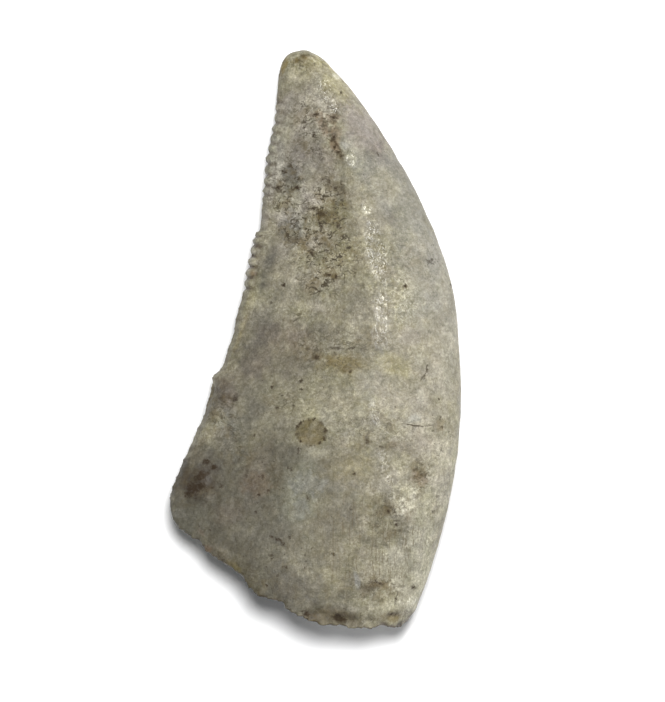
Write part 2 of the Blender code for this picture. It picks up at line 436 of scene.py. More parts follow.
def carveDenticles(piece):
    points, normals = readShape(piece)
    along, inward = edgePlaces(points)
    line, run = smoothLine(serratedEdge)
    tangents = np.gradient(line, axis=0) / np.hypot(*np.gradient(line, axis=0).T)[:, None]
    tangent = np.stack([np.interp(along, run, tangents[:, axis]) for axis in (0, 1)], 1)
    inner = np.stack([tangent[:, 1], -tangent[:, 0]], 1)
    stations = np.c_[along, np.zeros(len(along)), np.zeros(len(along))]

    def sway(amount, length, shift):
        return amount * noiseField(stations, length, shift) * 2

    # along the edge, then the outline in and out
    near = 1 - ease(*denticles["edgeBand"], inward)
    points[:, :2] += tangent * (sway(*denticles["drift"]) * near)[:, None]
    wear = np.interp(along, *zip(*denticleWear))
    gap = gapShare(along, denticles["gapWidth"])
    lower = ease(*denticles["wornBelow"], along)
    deeper = (denticles["extraDepth"] + sway(*denticles["unevenness"])) * gap * wear
    level = sway(*denticles["wornSteps"]) - denticles["wornFill"] * gap * wear
    points[:, :2] += inner * ((deeper * (1 - lower) + level * lower) * near)[:, None]

    # grooves, furrow and beads on the face
    wear = wear * (1 - denticles["wornCalm"] * lower)
    reach = 1 - ease(*denticles["grooveInward"], inward)
    groove = denticles["grooveDepth"] * gap * wear * reach
    footDepth, *foot = denticles["foot"]
    beadHeight, *bead = denticles["bead"]
    furrow = footDepth * wear * bell(inward, *foot)
    bulge = beadHeight * (1 - gap) * wear * bell(inward, *bead)
    points += normals * (bulge - groove - furrow)[:, None]
    points[:, 2] = np.maximum(points[:, 2], 0)
    writePoints(piece.data, points)
    saveField(piece.data, "grimeAndShade", grimeAndShadeShare(along, inward, wear, reach))
    print("denticles carved")


# the crown's colours
# pigments as they look on the serrated side under these lights, red, green and blue out of 255
pigments = {
    "greige": (144, 138, 117), "cream": (166, 159, 132), "ivory": (188, 183, 162), "ochre": (132, 117, 78),
    "tan": (144, 130, 98), "olive": (118, 108, 74), "umber": (90, 75, 42), "bister": (108, 92, 52),
    "darkUmber": (60, 49, 20), "sepia": (66, 57, 44), "darkLiver": (72, 54, 36), "pitch": (46, 30, 2),
    "coolGrey": (144, 142, 133), "fogGrey": (127, 126, 117), "mauve": (118, 107, 94),
    "lilac": (140, 132, 122), "slate": (95, 91, 80), "mossGrey": (98, 95, 80), "greenGrey": (132, 130, 112),
    "blueGrey": (150, 149, 141), "rust": (128, 98, 70), "liver": (112, 90, 68), "pearl": (178, 171, 154),
    # the darkest greys on the next line are laid as painted shade as well as darker staining
    "chalk": (206, 201, 180), "duskShadeAndStain": (101, 96, 81), "shade": (74, 69, 54), "yellowGreen": (148, 140, 102),
    "stain": (116, 105, 74), "rose": (150, 138, 124),
}
flankLight = 1.68  # how bright a white card would be on the serrated side

brush = {
    "ground": "greige",
    "facing": (-0.25, 0.1),  # turned up
    # noise that roughens outlines: size in mm, shift
    "noise": {"broad": (0.5, 1), "ragged": (0.14, 2), "fine": (0.05, 3)},
    # where a spot starts to show and is full, against 1 at its outline, and its share of each noise
    "wash": ((1.45, 0.35), (0.45, 0.35, 0.0)),
    "patch": ((1.3, 0.55), (0.0, 0.55, 0.45)),
    "field": ((1.4, 0.4), (0.35, 0.25, 0.0)),
    "fieldLeast": 0.12,
    "markSpread": 0.5, "markFade": 0.69, "markLeast": 0.48,  # spread in photo pixels
}

# broad washes: x, y, half length and half width in photo pixels, turn in degrees, pigment, strength
# each lies over those before it
# the darkest grey washes on the lower left and along the base are painted shade where the surface turns from
# the light, over its own darker staining
washes = [
    (420, 215, 90, 14, 62, "mossGrey", 0.35), (376, 150, 60, 14, 60, "lilac", 0.6),
    (398, 200, 80, 24, 62, "coolGrey", 0.5), (440, 285, 50, 16, 75, "coolGrey", 0.45),
    (358, 256, 24, 26, 0, "cream", 0.45), (396, 405, 40, 20, 40, "pearl", 0.35),
    (408, 436, 30, 14, 0, "pearl", 0.4), (446, 320, 80, 10, 86, "pearl", 0.3),
    (283, 150, 70, 12, -80, "pearl", 0.6), (300, 205, 66, 24, -85, "pearl", 0.8),
    (318, 170, 50, 14, -80, "rose", 0.5), (276, 230, 34, 10, -75, "pearl", 0.4),
    (310, 100, 26, 20, 80, "pearl", 0.4), (318, 112, 26, 14, 60, "pearl", 0.4),
    (386, 190, 70, 22, 62, "mossGrey", 0.22), (352, 205, 26, 16, 80, "greige", 0.5),
    (280, 352, 30, 24, 0, "mauve", 0.5), (282, 478, 16, 44, 0, "shade", 0.35),
    (222, 446, 30, 20, -50, "duskShadeAndStain", 0.4), (438, 388, 50, 16, 92, "pearl", 0.4),
    (398, 612, 18, 12, 0, "chalk", 0.7), (288, 606, 30, 8, 20, "shade", 0.4),
    (332, 268, 20, 26, 0, "cream", 0.45), (215, 476, 34, 18, -45, "shade", 0.65),
    (274, 478, 13, 42, 0, "shade", 0.6), (268, 574, 56, 20, 35, "shade", 0.75),
    (326, 508, 16, 50, 0, "duskShadeAndStain", 0.35), (404, 500, 14, 16, 0, "chalk", 0.5),
    (396, 296, 22, 24, 0, "cream", 0.4), (312, 112, 24, 16, 40, "cream", 0.4),
    (384, 566, 26, 22, 0, "pearl", 0.45), (434, 466, 40, 14, 95, "pearl", 0.35),
    (372, 336, 15, 13, 0, "duskShadeAndStain", 0.55), (226, 556, 18, 12, 35, "duskShadeAndStain", 0.5),
    (184, 506, 16, 16, 0, "shade", 0.5), (252, 448, 26, 16, 0, "shade", 0.35),
    (334, 612, 30, 10, 5, "shade", 0.6), (240, 330, 36, 10, -72, "duskShadeAndStain", 0.35),
    (228, 394, 20, 12, -60, "shade", 0.3), (372, 141, 18, 12, 60, "mauve", 0.35),
    (352, 197, 12, 10, 0, "bister", 0.1), (366, 168, 50, 12, 62, "coolGrey", 0.5),
    (318, 60, 14, 8, 0, "yellowGreen", 0.3), (196, 490, 16, 12, -40, "umber", 0.5),
    (350, 466, 22, 20, 0, "ochre", 0.3), (192, 462, 34, 10, -60, "mauve", 0.5),
    (306, 158, 60, 22, -82, "coolGrey", 0.35), (410, 285, 40, 20, 70, "coolGrey", 0.3),
    (412, 556, 60, 20, 100, "coolGrey", 0.3), (308, 112, 26, 18, 30, "pearl", 0.75),
    (312, 224, 34, 22, -80, "pearl", 0.5), (330, 424, 15, 14, 0, "pearl", 0.5),
    (374, 232, 30, 9, 80, "duskShadeAndStain", 0.3), (240, 474, 26, 20, 0, "shade", 0.35),
    (228, 534, 34, 20, 20, "shade", 0.35), (348, 590, 14, 14, 0, "shade", 0.5),
    (286, 590, 30, 14, 30, "shade", 0.5), (240, 562, 26, 14, 35, "shade", 0.5),
    (270, 490, 14, 38, 0, "shade", 0.7), (296, 449, 16, 8, 0, "shade", 0.3),
    (204, 512, 24, 14, 30, "shade", 0.4), (376, 282, 26, 10, 85, "duskShadeAndStain", 0.2),
    (324, 278, 14, 12, 0, "pearl", 0.4), (276, 310, 16, 12, 0, "pearl", 0.4),
    (430, 430, 40, 18, 90, "pearl", 0.35), (224, 562, 20, 10, 35, "slate", 0.6),
    (324, 410, 32, 30, 0, "cream", 0.65), (370, 250, 60, 20, 85, "cream", 0.25),
    (282, 338, 34, 14, -10, "mauve", 0.5), (215, 490, 60, 48, 0, "duskShadeAndStain", 0.95),
    (262, 540, 54, 44, 0, "duskShadeAndStain", 0.8), (266, 462, 36, 54, 0, "duskShadeAndStain", 0.75),
    (212, 540, 60, 18, 35, "shade", 0.75), (256, 586, 50, 14, 35, "shade", 0.95),
    (200, 500, 30, 40, 0, "shade", 0.5), (336, 470, 20, 60, 0, "duskShadeAndStain", 0.35),
    (250, 425, 40, 14, -62, "duskShadeAndStain", 0.4), (305, 592, 60, 24, 30, "duskShadeAndStain", 0.6),
    (335, 500, 34, 70, 0, "duskShadeAndStain", 0.35), (235, 388, 50, 18, -62, "mauve", 0.3),
    (438, 485, 70, 18, 105, "chalk", 0.28), (420, 580, 46, 18, 105, "chalk", 0.55),
    (398, 490, 18, 28, 0, "pearl", 0.5), (396, 560, 16, 16, 0, "chalk", 0.4),
    (388, 600, 34, 16, 0, "chalk", 0.3), (310, 66, 26, 20, 0, "cream", 0.75),
    (337, 88, 28, 9, 55, "yellowGreen", 0.55), (290, 114, 18, 12, 90, "lilac", 0.5),
    (354, 118, 16, 12, 60, "lilac", 0.6), (311, 154, 16, 14, 0, "lilac", 0.6),
    (384, 184, 20, 14, 60, "cream", 0.45), (290, 135, 30, 6, -80, "cream", 0.5),
    (267, 208, 26, 5, -80, "pearl", 0.85), (246, 314, 36, 5, -70, "cream", 0.65),
    (240, 335, 22, 3, -70, "ochre", 0.35), (249, 262, 30, 4, -73, "pearl", 0.7),
    (250, 300, 16, 4, -70, "yellowGreen", 0.2), (269, 266, 30, 7, -76, "slate", 0.8),
    (294, 232, 16, 12, 0, "slate", 0.6), (325, 215, 22, 14, 0, "olive", 0.45),
    (330, 244, 34, 24, 0, "umber", 0.12), (300, 265, 18, 18, 0, "cream", 0.3),
    (260, 348, 30, 15, -65, "mauve", 0.6), (262, 344, 10, 7, 0, "slate", 0.5),
    (318, 327, 12, 10, 0, "slate", 0.35), (342, 364, 20, 12, 0, "olive", 0.75),
    (396, 366, 18, 11, 15, "yellowGreen", 0.5), (415, 337, 14, 9, 0, "lilac", 0.35),
    (448, 360, 40, 7, 92, "greenGrey", 0.5), (238, 420, 50, 26, 120, "slate", 0.45),
    (225, 390, 16, 9, 60, "mauve", 0.6), (200, 482, 20, 22, 0, "sepia", 0.6),
    (258, 465, 30, 16, 100, "mauve", 0.4), (190, 516, 24, 16, 30, "mossGrey", 0.75),
    (230, 512, 16, 12, 0, "mauve", 0.4), (218, 552, 16, 6, 35, "rose", 0.3),
    (268, 532, 24, 20, 0, "slate", 0.4), (292, 488, 24, 36, 0, "greenGrey", 0.5),
    (312, 452, 16, 6, 0, "ivory", 0.35), (420, 452, 18, 18, 0, "mauve", 0.25),
    (410, 504, 18, 18, 0, "ivory", 0.3), (386, 509, 17, 10, 100, "slate", 0.6),
    (340, 530, 40, 50, 0, "olive", 0.22), (425, 580, 36, 8, 105, "ivory", 0.45),
    (392, 588, 30, 26, 0, "cream", 0.25), (240, 575, 40, 14, 35, "olive", 0.35),
    (330, 615, 30, 8, 0, "umber", 0.5), (392, 615, 14, 8, 0, "umber", 0.45),
    (365, 588, 10, 8, 0, "slate", 0.45), (232, 564, 36, 12, 35, "duskShadeAndStain", 0.6),
    (258, 334, 40, 14, -68, "slate", 0.5), (288, 362, 26, 16, 0, "duskShadeAndStain", 0.35),
    (276, 590, 26, 12, 30, "shade", 0.4), (324, 306, 16, 10, 0, "pearl", 0.35),
    (350, 462, 20, 26, 0, "ochre", 0.25), (350, 366, 14, 9, 0, "olive", 0.25),
    (276, 156, 46, 10, -80, "blueGrey", 0.4), (376, 188, 54, 15, 62, "duskShadeAndStain", 0.25),
    (414, 300, 24, 24, 0, "blueGrey", 0.3), (276, 562, 20, 16, 0, "shade", 0.3),
    (182, 506, 14, 14, 0, "shade", 0.4), (320, 104, 22, 14, 30, "pearl", 0.35),
    (298, 148, 14, 30, 10, "lilac", 0.4), (274, 480, 13, 34, 0, "shade", 0.35),
    (230, 476, 18, 16, 0, "shade", 0.3), (290, 456, 15, 12, 0, "duskShadeAndStain", 0.5),
    (372, 534, 14, 18, 0, "duskShadeAndStain", 0.35), (350, 506, 12, 24, 0, "duskShadeAndStain", 0.3),
    (398, 446, 14, 10, 0, "mauve", 0.4), (400, 504, 12, 12, 0, "chalk", 0.4),
    (374, 238, 26, 9, 80, "duskShadeAndStain", 0.3), (348, 285, 14, 14, 0, "duskShadeAndStain", 0.3),
    (398, 290, 22, 22, 0, "cream", 0.4), (436, 366, 40, 20, 90, "pearl", 0.3),
    (374, 142, 18, 14, 60, "mauve", 0.4), (202, 506, 20, 20, 0, "shade", 0.3),
    (300, 112, 16, 12, 0, "pearl", 0.4), (252, 520, 30, 26, 0, "shade", 0.2),
    (228, 388, 34, 12, -65, "shade", 0.14), (288, 392, 24, 14, 0, "shade", 0.1),
    (228, 424, 14, 12, 0, "blueGrey", 0.3), (298, 450, 13, 11, 0, "shade", 0.18),
    (348, 446, 14, 14, 0, "chalk", 0.1), (384, 448, 24, 13, 0, "shade", 0.09),
    (372, 336, 14, 14, 0, "bister", 0.22), (348, 196, 14, 14, 0, "shade", 0.17),
    (324, 196, 14, 14, 0, "chalk", 0.1), (276, 166, 26, 10, -80, "chalk", 0.15),
    (372, 140, 16, 14, 60, "slate", 0.35), (396, 168, 18, 14, 60, "slate", 0.22),
    (298, 224, 14, 14, 0, "blueGrey", 0.3), (314, 280, 26, 12, 0, "chalk", 0.09),
    (372, 294, 26, 14, 88, "shade", 0.1), (300, 504, 15, 14, 0, "shade", 0.12),
    (360, 504, 24, 14, 0, "shade", 0.09), (288, 588, 26, 13, 20, "umber", 0.14),
    (348, 560, 14, 14, 0, "shade", 0.11), (234, 448, 40, 13, 0, "duskShadeAndStain", 0.14),
    (264, 340, 26, 14, 0, "slate", 0.15), (348, 364, 14, 12, 0, "ochre", 0.2),
    (184, 504, 14, 14, 0, "shade", 0.1), (348, 226, 20, 12, 0, "bister", 0.12),
    (330, 420, 13, 14, 0, "chalk", 0.17), (375, 140, 15, 13, 60, "shade", 0.14),
]
# patches with ragged edges, over the washes
patches = [
    (337, 76, 5, 4, 50, "chalk", 0.8), (284, 66, 9, 3, -75, "ochre", 0.8), (297, 60, 5, 3, 0, "ochre", 0.9),
    (305, 57, 5, 3, 0, "ochre", 0.8), (303, 56, 3, 2, 0, "umber", 0.7),
    # the ivory patch at 351, 159 is a painted highlight, a pale streak of sheen on the crest
    (330, 66, 12, 3, 40, "yellowGreen", 0.6), (351, 159, 8, 4, 70, "ivory", 0.75),
    (343, 146, 6, 4, 0, "blueGrey", 0.5), (376, 146, 8, 7, 0, "mauve", 0.55),
    (290, 178, 15, 9, 90, "slate", 0.85), (360, 128, 24, 14, 60, "lilac", 0.9),
    (356, 150, 12, 8, 60, "pearl", 0.4), (300, 492, 32, 15, 95, "greenGrey", 0.6),
    (308, 482, 20, 12, 10, "fogGrey", 0.6), (300, 506, 8, 12, 0, "fogGrey", 0.6),
    (258, 484, 16, 12, 0, "liver", 0.28), (276, 478, 10, 16, 0, "umber", 0.2),
    (278, 538, 9, 5, 10, "duskShadeAndStain", 0.5), (317, 114, 6, 4, 0, "rust", 0.4), (333, 118, 8, 6, 0, "liver", 0.5),
    (325, 128, 10, 5, 60, "rust", 0.4), (336, 134, 6, 8, 0, "rust", 0.4),
    (334, 146, 9, 4, 62, "liver", 0.75), (340, 155, 5, 4, 60, "umber", 0.6),
    (338, 190, 13, 9, 20, "umber", 0.5), (322, 216, 9, 6, 0, "umber", 0.7),
    # the ivory patch at 366, 210 is a painted highlight where the crest glints
    (344, 204, 7, 3, 0, "olive", 0.7), (366, 210, 4, 4, 0, "ivory", 0.5),
    (296, 240, 8, 4, 20, "umber", 0.55), (312, 253, 5, 4, 0, "umber", 0.5),
    (332, 276, 8, 3, 5, "umber", 0.7), (253, 274, 4, 3, 0, "rust", 0.45), (257, 246, 4, 3, 0, "mauve", 0.6),
    (405, 287, 4, 3, 0, "umber", 0.6), (316, 358, 6, 4, 0, "umber", 0.65), (349, 370, 6, 4, 0, "umber", 0.5),
    (419, 360, 4, 6, 0, "ivory", 0.5), (421, 395, 4, 5, 0, "ivory", 0.6),
    (227, 398, 5, 7, 60, "umber", 0.45), (199, 476, 9, 5, -25, "sepia", 0.6),
    (198, 483, 18, 14, -50, "sepia", 0.8), (191, 489, 8, 7, 0, "sepia", 0.6),
    (210, 466, 8, 4, 30, "sepia", 0.6), (414, 418, 7, 5, 0, "blueGrey", 0.6),
    (440, 424, 5, 7, 0, "bister", 0.45), (366, 438, 6, 3, 60, "umber", 0.5),
    (387, 446, 10, 4, -15, "umber", 0.45), (420, 477, 9, 9, 0, "liver", 0.5),
    (424, 474, 4, 3, 0, "umber", 0.5), (387, 509, 6, 10, 10, "umber", 0.45),
    (202, 532, 5, 3, 40, "mauve", 0.7), (233, 563, 7, 3, 35, "ochre", 0.3),
    (207, 548, 5, 4, 0, "liver", 0.6), (180, 513, 7, 5, 0, "coolGrey", 0.25),
    (191, 533, 14, 8, 45, "mossGrey", 0.6), (280, 541, 5, 4, 0, "slate", 0.6),
    (380, 583, 8, 5, 0, "umber", 0.75), (366, 589, 8, 6, 0, "umber", 0.55),
    (341, 619, 7, 4, 20, "darkUmber", 0.7), (311, 616, 8, 4, 10, "umber", 0.55),
    (392, 616, 8, 5, 0, "bister", 0.6), (357, 580, 8, 3, 80, "blueGrey", 0.6),
    (236, 568, 7, 4, 40, "olive", 0.5), (334, 362, 8, 6, 0, "ochre", 0.35),
]
# small dark marks: x, y, half length, half width, turn, strength
marks = [
    (201, 476, 8, 4.2, -35, 1), (194, 488, 7, 6.5, 0, 1), (188, 494, 4, 3.5, 0, 0.8),
    (201, 486, 6, 5, 0, 0.9), (206, 461, 3.5, 3, 0, 0.9), (214, 467, 3.2, 2.6, 0, 1),
    (222, 486, 3, 2, 0, 0.4), (236, 398, 3, 5, 20, 0.5), (338, 616, 7, 3.5, 15, 1),
    (306, 611, 5, 2, 10, 0.8), (361, 613, 3, 2, 0, 0.3), (392, 613, 6, 2.5, 0, 0.25),
    (374, 580, 6, 3, 0, 0.5), (315, 115, 5, 2, 0, 0.8), (334, 118, 4, 2, 0, 0.8), (331, 108, 4, 1.5, 0, 0.5),
    (333, 139, 5, 2, -60, 0.8), (339, 153, 4, 3, 0, 0.9), (314, 135, 1.5, 3, 0, 0.8),
    (304, 128, 3, 1.5, 0, 0.5), (302, 104, 4, 1.2, 20, 0.5), (305, 122, 1.5, 1.5, 0, 0.7),
    (314, 133, 1.2, 2, 0, 0.7), (315, 116, 3, 1.5, 0, 0.7), (334, 117, 3, 1.5, 0, 0.6),
    (341, 93, 1.3, 1.6, 0, 0.8), (335, 147, 6, 1.5, -62, 0.8), (342, 156, 2, 2, 0, 0.8),
    (378, 154, 3, 1, 70, 0.6), (278, 188, 3, 2, 60, 0.8), (297, 188, 3, 2, 60, 0.8),
    (284, 172, 3, 2, 30, 0.8), (329, 181, 3, 2, 60, 0.7), (336, 188, 3, 1.6, 0, 0.6),
    (306, 200, 2.5, 1.5, 0, 0.6), (312, 209, 8, 1.6, 5, 0.85), (321, 214, 5, 2.5, 20, 0.8),
    (338, 204, 4, 1.6, 10, 0.6), (322, 226, 1.3, 5, 15, 0.8), (338, 226, 2, 3, 0, 0.7),
    (312, 253, 2, 3, 0, 0.8), (344, 239, 3, 1.5, 0, 0.6), (330, 235, 4, 1.2, 10, 0.5),
    (328, 275, 4, 1.5, 0, 0.85), (336, 277, 2, 1.5, 0, 0.8), (284, 285, 2, 2, 0, 0.9),
    (271, 303, 1.3, 1.3, 0, 0.8), (316, 293, 7, 1, 5, 0.6), (320, 291, 4, 1, -20, 0.5),
    (429, 262, 3, 1.3, 20, 0.6), (432, 260, 2.5, 1, 110, 0.5), (436, 262, 2.5, 1, 0, 0.5),
    (405, 286, 1.5, 2, 0, 0.8), (451, 285, 1, 3, 15, 0.6), (296, 318, 5, 1, 60, 0.5),
    (302, 314, 4, 1, 0, 0.5), (336, 348, 7, 1.2, 0, 0.7), (352, 348, 4, 1, 0, 0.6), (317, 357, 3, 2, 0, 0.7),
    (350, 371, 2, 1.5, 0, 0.8), (426, 371, 1, 5, 20, 0.7), (423, 378, 3, 1, 30, 0.6),
    (301, 381, 2, 2, 0, 0.9), (301, 389, 1.6, 1.6, 0, 0.8), (272, 387, 1.3, 1.3, 0, 0.8),
    (282, 395, 1.3, 1.3, 0, 0.6), (277, 407, 3, 2, 0, 0.6), (281, 394, 1.5, 2, 0, 0.5),
    (294, 406, 2, 1.5, 0, 0.5), (439, 399, 1.3, 1.3, 0, 0.7), (442, 427, 2, 1.3, 0, 0.7),
    (440, 418, 1, 2.5, 0, 0.5), (367, 441, 3, 1.5, 60, 0.6), (381, 446, 3, 1.5, 0, 0.6),
    (441, 450, 2, 1, 60, 0.6), (437, 455, 2, 1, 0, 0.6), (207, 460, 2, 2, 0, 0.7), (214, 466, 2, 2, 0, 0.8),
    (213, 487, 1.5, 1.5, 0, 0.6), (196, 499, 2, 2, 0, 0.6), (247, 475, 2, 1.5, 0, 0.5),
    (262, 476, 2.5, 2, 0, 0.6), (259, 494, 2, 1.5, 0, 0.6), (256, 512, 1.5, 1.5, 0, 0.7),
    (308, 496, 1.2, 4, -10, 0.7), (290, 468, 3, 1.8, 40, 0.6), (388, 511, 2, 3, 0, 0.7),
    (396, 524, 2.5, 2, 0, 0.8), (433, 511, 1.5, 2, 0, 0.7), (437, 495, 1.2, 2, 0, 0.5),
    (302, 547, 1.5, 1.5, 0, 0.6), (305, 554, 1.3, 1.3, 0, 0.6), (312, 548, 3, 1.5, 0, 0.4),
    (334, 553, 2.5, 1.5, 30, 0.7), (272, 556, 2, 3, 0, 0.5), (286, 566, 3, 1.5, 30, 0.5),
    (278, 574, 1.3, 1.3, 0, 0.7), (267, 584, 1.6, 1.4, 0, 0.9), (260, 588, 2, 1.5, 0, 0.5),
    (413, 587, 2.5, 2, 0, 0.9), (396, 598, 1, 3, -20, 0.7), (380, 582, 4, 2, 0, 0.5),
    (344, 618, 4, 1.5, 40, 0.8), (337, 615, 4, 1.3, 0, 0.7), (372, 618, 2, 1.5, 0, 0.3),
    (307, 613, 4, 1.5, 10, 0.7), (364, 518, 1, 3, 0, 0.4), (222, 558, 6, 1.2, 35, 0.6),
    (420, 474, 3, 2, 0, 0.3), (279, 539, 4, 2, 10, 0.7), (283, 543, 2.5, 2, 0, 0.7),
    (272, 536, 2, 2, 0, 0.6), (290, 537, 1.5, 2.5, 0, 0.6), (350, 508, 1.5, 2, 0, 0.5),
    (354, 473, 3, 1.5, 0, 0.6), (254, 435, 3, 1.5, -50, 0.55), (299, 450, 1.5, 4, 10, 0.6),
    (269, 490, 2, 2.5, 0, 0.5), (312, 547, 2.5, 2, 30, 0.5),
]
# thin lines: start and end in photo pixels, width in pixels, strength
hairlines = [
    ((405, 424), (424, 426), 0.7, 0.8), ((424, 426), (433, 425), 0.6, 0.5),
    ((427, 364), (426, 372), 0.9, 0.7), ((426, 372), (420, 381), 0.8, 0.6),
    ((309, 295), (324, 291), 0.8, 0.6), ((312, 287), (320, 292), 0.7, 0.6),
    ((329, 347), (345, 349), 0.8, 0.6), ((346, 350), (356, 346), 0.7, 0.5),
    ((344, 274), (345, 284), 0.7, 0.5), ((340, 264), (341, 272), 0.7, 0.5),
    ((425, 259), (435, 265), 0.8, 0.5), ((427, 266), (432, 258), 0.8, 0.5),
    ((451, 282), (453, 292), 0.8, 0.7), ((300, 317), (293, 322), 0.7, 0.5),
    ((292, 313), (300, 316), 0.7, 0.5), ((393, 503), (396, 516), 0.8, 0.5),
    ((398, 590), (394, 604), 0.8, 0.6), ((303, 100), (306, 107), 0.8, 0.5),
    ((334, 140), (342, 154), 1.2, 0.6), ((307, 210), (319, 207), 1, 0.7), ((318, 219), (322, 232), 1, 0.6),
]
# the round stain with its dotted rim
roundStain = {
    "x": 311.2, "y": 431.7, "radius": 13.8, "flatness": 1.15, "pigment": "stain",
    "wobble": 0.10, "edge": (1.05, 0.92), "cover": 0.95, "coverChange": 0.6,
    "rimDots": 19, "rimAt": 0.93, "seed": 5,
    # how far a dot strays from its place, its half length, half width, turn and strength
    "dotStray": (-0.3, 0.3), "dotLong": (1.6, 3.0), "dotWide": (1.3, 2.0), "dotTurn": (0, 180),
    "dotWobble": 0.3, "dotStrength": (0.6, 1.0),
}
# the side that the photo doesn't show, and the break
unseen = {
    "blotches": 30, "seed": 11,
    "spans": [(190, 450), (60, 620), (12, 50), (8, 26), (0, 180)],  # x, y, half length, half width, turn
    "strength": (0.25, 0.6),
    "pigments": ["cream", "slate", "mossGrey", "olive", "pearl", "mauve", "bister", "tan"],
    # on the break: pigment, cover, how much the noise changes it, most
    "breakGround": ("mauve", 0.6, 1.0, 1), "breakStains": ("sepia", 0.35, 1.5, 0.8),
}
# where the small dark curls, the calm parts, the fibres, the pale squiggles and the glossy flecks are; the
# squiggles on the crest and the glossy flecks also carry painted highlights
fields = {
    "speckle": [
        (325, 235, 36, 56, 0, 1), (288, 195, 24, 44, 0, 0.7), (318, 130, 26, 40, 0, 0.58),
        (335, 350, 50, 26, 0, 0.5), (390, 280, 34, 50, 0, 0.35), (375, 430, 50, 24, 0, 0.4),
        (222, 420, 20, 70, -28, 0.5), (200, 490, 26, 24, 0, 0.3), (420, 477, 16, 20, 0, 0.5),
        (368, 588, 34, 18, 0, 0.5), (390, 515, 24, 30, 0, 0.5), (282, 400, 24, 20, 0, 0.4),
        (310, 62, 20, 14, 0, 0.5), (245, 575, 40, 16, 35, 0.4),
    ],
    "calm": [
        (240, 520, 90, 70, 0, 1), (270, 400, 40, 70, 0, 0.7), (446, 330, 24, 110, 0, 0.9),
        (440, 250, 20, 50, 0, 0.7), (292, 480, 40, 60, 0, 0.8), (410, 200, 24, 60, -28, 0.8),
        (422, 310, 26, 80, -6, 0.8), (425, 420, 34, 60, 0, 0.5), (358, 128, 24, 20, 0, 0.9),
        (290, 150, 14, 40, 10, 0.6), (405, 590, 40, 40, 0, 0.6),
    ],
    "fibre": [
        (372, 545, 60, 60, 0, 1), (300, 560, 40, 40, 0, 0.5), (330, 310, 60, 50, 0, 0.45),
    ],
    "squiggleAndHighlight": [
        # the squiggles on the crest are partly pale texture and partly painted highlights where it glints
        (390, 295, 34, 40, 0, 1), (350, 120, 20, 40, 0, 0.5), (330, 250, 50, 70, 0, 0.6),
        (395, 440, 40, 60, 0, 0.5), (300, 90, 30, 30, 0, 0.5), (306, 500, 24, 36, 0, 0.6),
        (262, 500, 30, 40, 0, 0.35),
    ],
    "glossAndHighlight": [
        # the glossy flecks, which also get painted highlights in their colour
        (325, 92, 18, 9, 60, 1), (334, 108, 10, 6, 70, 1), (351, 158, 11, 5, 70, 0.8),
        (366, 208, 10, 6, 70, 0.8), (376, 250, 40, 10, 78, 1), (381, 318, 32, 9, 92, 1),
        (374, 412, 18, 4, 75, 0.55), (386, 465, 30, 7, 80, 0.6), (410, 600, 16, 6, 0, 0.5),
        (396, 300, 24, 34, 0, 0.45),
    ],
}


def pigment(name):
    seen = np.array(pigments[name]) / 255
    linear = np.where(seen <= 0.04045, seen / 12.92, ((seen + 0.055) / 1.055) ** 2.4)
    return linear / flankLight


def cover(colour, amount, name):
    return colour + (pigment(name) - colour) * amount[:, None]


def brushCover(kind, points, spot, noises):
    edge, weights = brush[kind]
    wobble = sum(weight * pattern for weight, pattern in zip(weights, noises))
    return ease(*edge, spotReach(points, *spot, wobble))


def paintShown(points, facing, noises):
    colour = np.tile(pigment(brush["ground"]), (len(points), 1))
    for kind, spots in (("wash", washes), ("patch", patches)):
        for *spot, name, strength in spots:
            colour = cover(colour, brushCover(kind, points, spot, noises) * strength * facing, name)
    return colour


def paintUnseen(colour, points, normals, hidden, noises):
    chance = np.random.RandomState(unseen["seed"])
    for k in range(unseen["blotches"]):
        spot = [chance.uniform(*span) for span in unseen["spans"]]
        amount = brushCover("wash", points, spot, noises) * chance.uniform(*unseen["strength"]) * hidden
        colour = cover(colour, amount, chance.choice(unseen["pigments"]))
    broken = breakShare(points, normals)
    for key, pattern in zip(("breakGround", "breakStains"), noises):
        name, amount, change, most = unseen[key]
        colour = cover(colour, broken * np.clip(amount + change * pattern, 0, most), name)
    return colour


def inkMarks(points, facing):
    ink = np.zeros(len(points))
    spread, least = brush["markSpread"], brush["markLeast"]
    for x, y, long, wide, turn, strength in marks:
        reach = spotReach(points, x, y, long + spread, wide + spread, turn, 0.0)
        mark = np.exp(-brush["markFade"] * reach**2) * (least + (1 - least) * strength)
        ink = np.maximum(ink, mark * facing)
    return ink


def addRoundStain(colour, ink, points, facing, ragged, fine):
    stain = roundStain
    long, wide = stain["radius"] * stain["flatness"], stain["radius"]
    reach = spotReach(points, stain["x"], stain["y"], long, wide, 0, stain["wobble"] * fine)
    patchy = np.clip(stain["cover"] + stain["coverChange"] * ragged, 0, 1)
    colour = cover(colour, ease(*stain["edge"], reach) * patchy * facing, stain["pigment"])
    chance = np.random.RandomState(stain["seed"])
    for k in range(stain["rimDots"]):
        angle = 2 * math.pi * (k + chance.uniform(*stain["dotStray"])) / stain["rimDots"]
        x = stain["x"] + long * stain["rimAt"] * math.cos(angle)
        y = stain["y"] + wide * stain["rimAt"] * math.sin(angle)
        shape = [chance.uniform(*stain[key]) for key in ("dotLong", "dotWide", "dotTurn")]
        reach = spotReach(points, x, y, *shape, stain["dotWobble"] * fine)
        dot = np.exp(-brush["markFade"] * reach**2) * chance.uniform(*stain["dotStrength"])
        ink = np.maximum(ink, dot * facing)
    return colour, ink


def layFields(mesh, points, facing, noises):
    for name, spots in fields.items():
        level = np.full(len(points), 0.0 if name == "glossAndHighlight" else brush["fieldLeast"])
        for *spot, strength in spots:
            level = np.maximum(level, brushCover("field", points, spot, noises) * strength * facing)
        saveField(mesh, name, level)


